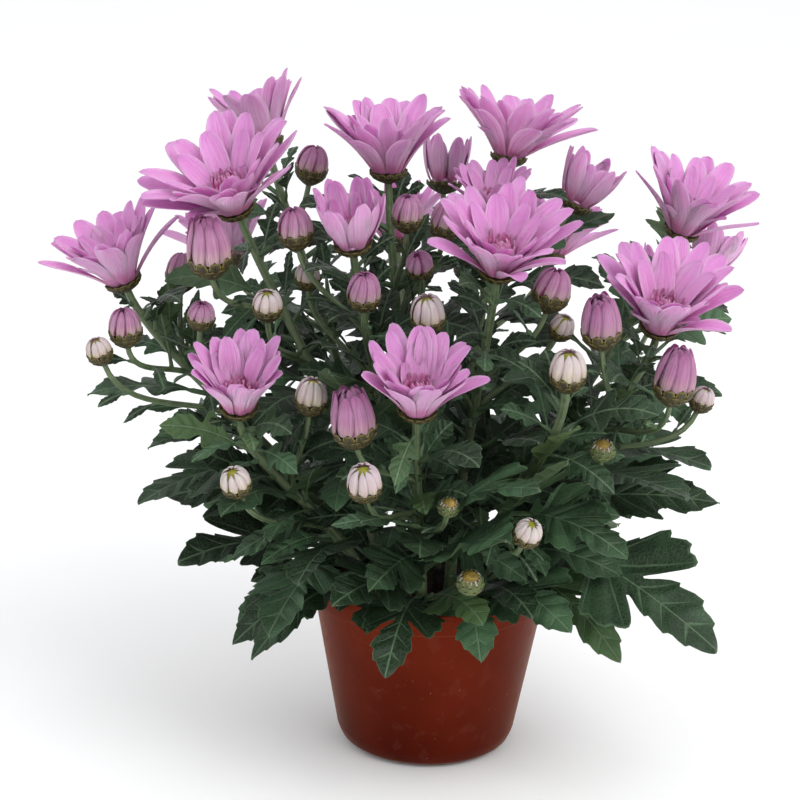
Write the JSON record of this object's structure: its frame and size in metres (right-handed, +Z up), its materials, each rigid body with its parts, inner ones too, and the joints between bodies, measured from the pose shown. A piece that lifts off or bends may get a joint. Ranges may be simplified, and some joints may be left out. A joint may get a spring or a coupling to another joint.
{
  "type": "potted florist's chrysanthemum (pot mum)",
  "caption": "Pink pot chrysanthemum in flower and bud, with lobed dark green leaves, in a terracotta-coloured plastic pot.",
  "frame": {"origin": "centre of the pot's underside, on the surface that it stands on", "axes": "+Z up, -Y towards the viewer of the picture, +X to the viewer's right"},
  "size_m": [0.3661, 0.2977, 0.3539],
  "materials": {
    "pot_plastic": "satin moulded terracotta-coloured plastic, black inside",
    "soil": "damp peat crumb",
    "leaf_green": "leathery dark green leaf with a paler underside, grey-green ridged stems",
    "petal_pink": "velvety mauve-pink petal with fine veins",
    "bud_pink": "closed pink bud petals",
    "bud_white": "closed cream bud petals with a yellow-green star"
  },
  "bodies": {
    "root": {"pot": "pot_plastic", "soil": "soil", "shoot_far_left": "leaf_green", "shoot_left": "leaf_green", "shoot_back_left": "leaf_green", "shoot_left_centre": "leaf_green", "shoot_centre": "leaf_green", "shoot_right_centre": "leaf_green", "shoot_back_right": "leaf_green", "shoot_far_right": "leaf_green", "shoot_right": "leaf_green", "shoot_front": "leaf_green", "shoot_front_left": "leaf_green", "shoot_front_right": "leaf_green", "shoot_back": "leaf_green", "bloom_far_left": "petal_pink", "bud_under_far_left": "bud_pink", "bud_left_of_centre": "bud_pink", "bud_far_left_small": "bud_white", "bud_left_purple": "bud_pink", "bloom_left": "petal_pink", "bud_left_large": "bud_pink", "bud_left_white": "bud_white", "bloom_back_left": "petal_pink", "bloom_back_far_left": "petal_pink", "bud_back_left_pink": "bud_pink", "bloom_left_centre": "petal_pink", "bud_left_centre_pink": "bud_pink", "bud_inner_white": "bud_white", "bud_inner_pink": "bud_pink", "bloom_top": "petal_pink", "bud_centre_pink": "bud_pink", "bud_centre_tall": "bud_pink", "bud_centre_small": "bud_pink", "bloom_right_centre": "petal_pink", "bud_right_of_centre": "bud_pink", "bud_centre_cream": "bud_white", "bud_right_white": "bud_white", "bloom_top_right": "petal_pink", "bloom_behind_centre": "petal_pink", "bloom_slim_centre": "petal_pink", "bloom_half_right": "petal_pink", "bloom_far_right": "petal_pink", "bloom_slim_right": "petal_pink", "bloom_back_far_right": "petal_pink", "bloom_right": "petal_pink", "bud_right_pink": "bud_pink", "bud_right_purple": "bud_pink", "bud_far_right_white": "bud_white", "bloom_front": "petal_pink", "bud_front_opening": "bud_pink", "bud_low_front_white": "bud_white", "bloom_front_left": "petal_pink", "bud_front_left_white": "bud_white", "bud_low_left_white": "bud_white", "bud_front_right": "bud_white", "bud_low_right_white": "bud_white", "bloom_back": "petal_pink", "bloom_back_right": "petal_pink", "bud_back_pink": "bud_pink"}
  },
  "joints": []
}
